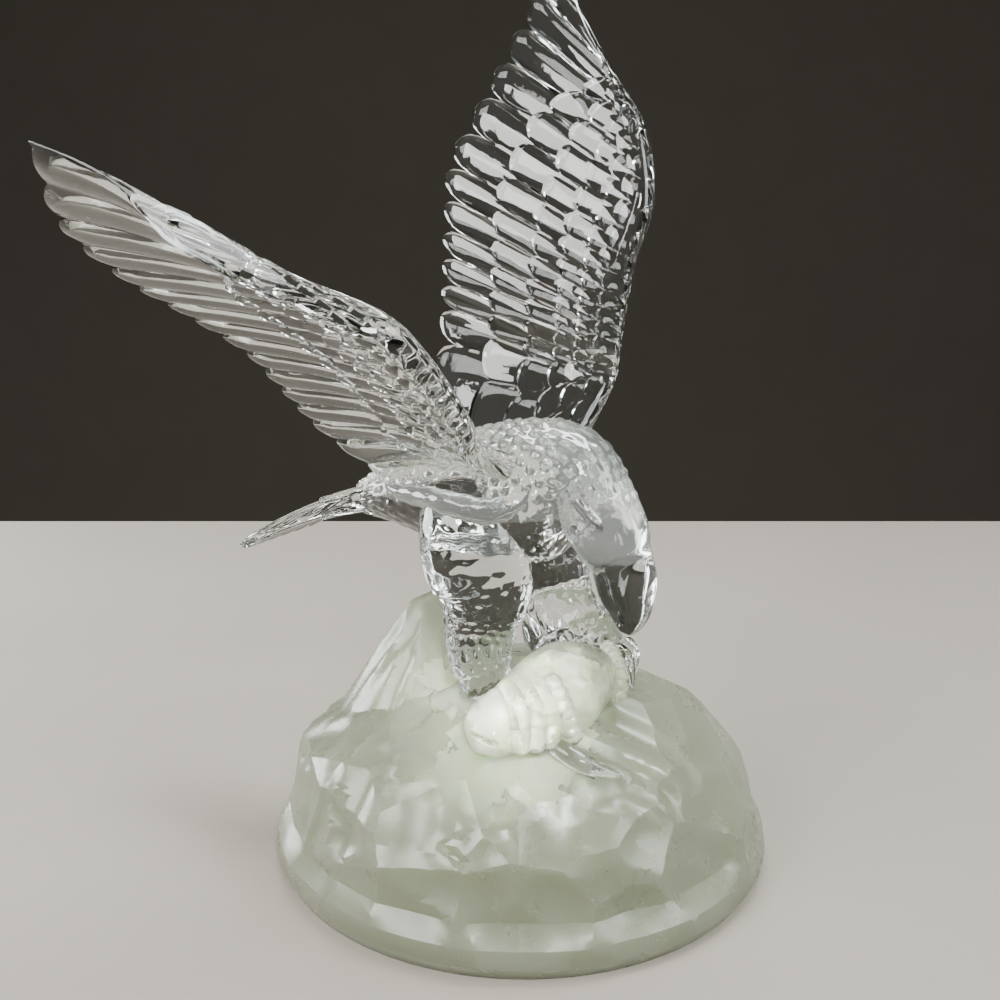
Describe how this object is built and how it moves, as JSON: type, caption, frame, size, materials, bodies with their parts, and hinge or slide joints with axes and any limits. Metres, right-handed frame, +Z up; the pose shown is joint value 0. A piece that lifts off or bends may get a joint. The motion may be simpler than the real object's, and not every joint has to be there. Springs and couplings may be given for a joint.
{
  "type": "glass eagle sculpture",
  "caption": "Pressed clear glass eagle with raised wings, gripping a fish on a satin-etched glass rock dome; a solid table sculpture.",
  "frame": {"origin": "centre of the rock's flat underside", "axes": "+Z up; +X the way the eagle's body faces, from its tail to its beak; +Y the eagle's left"},
  "size_m": [0.1634, 0.1889, 0.2505],
  "materials": {
    "crystal": "polished clear eagle and claws; satin-etched rock, fish and toes"
  },
  "bodies": {
    "root": {"eagle_on_rock": "crystal"}
  },
  "joints": []
}
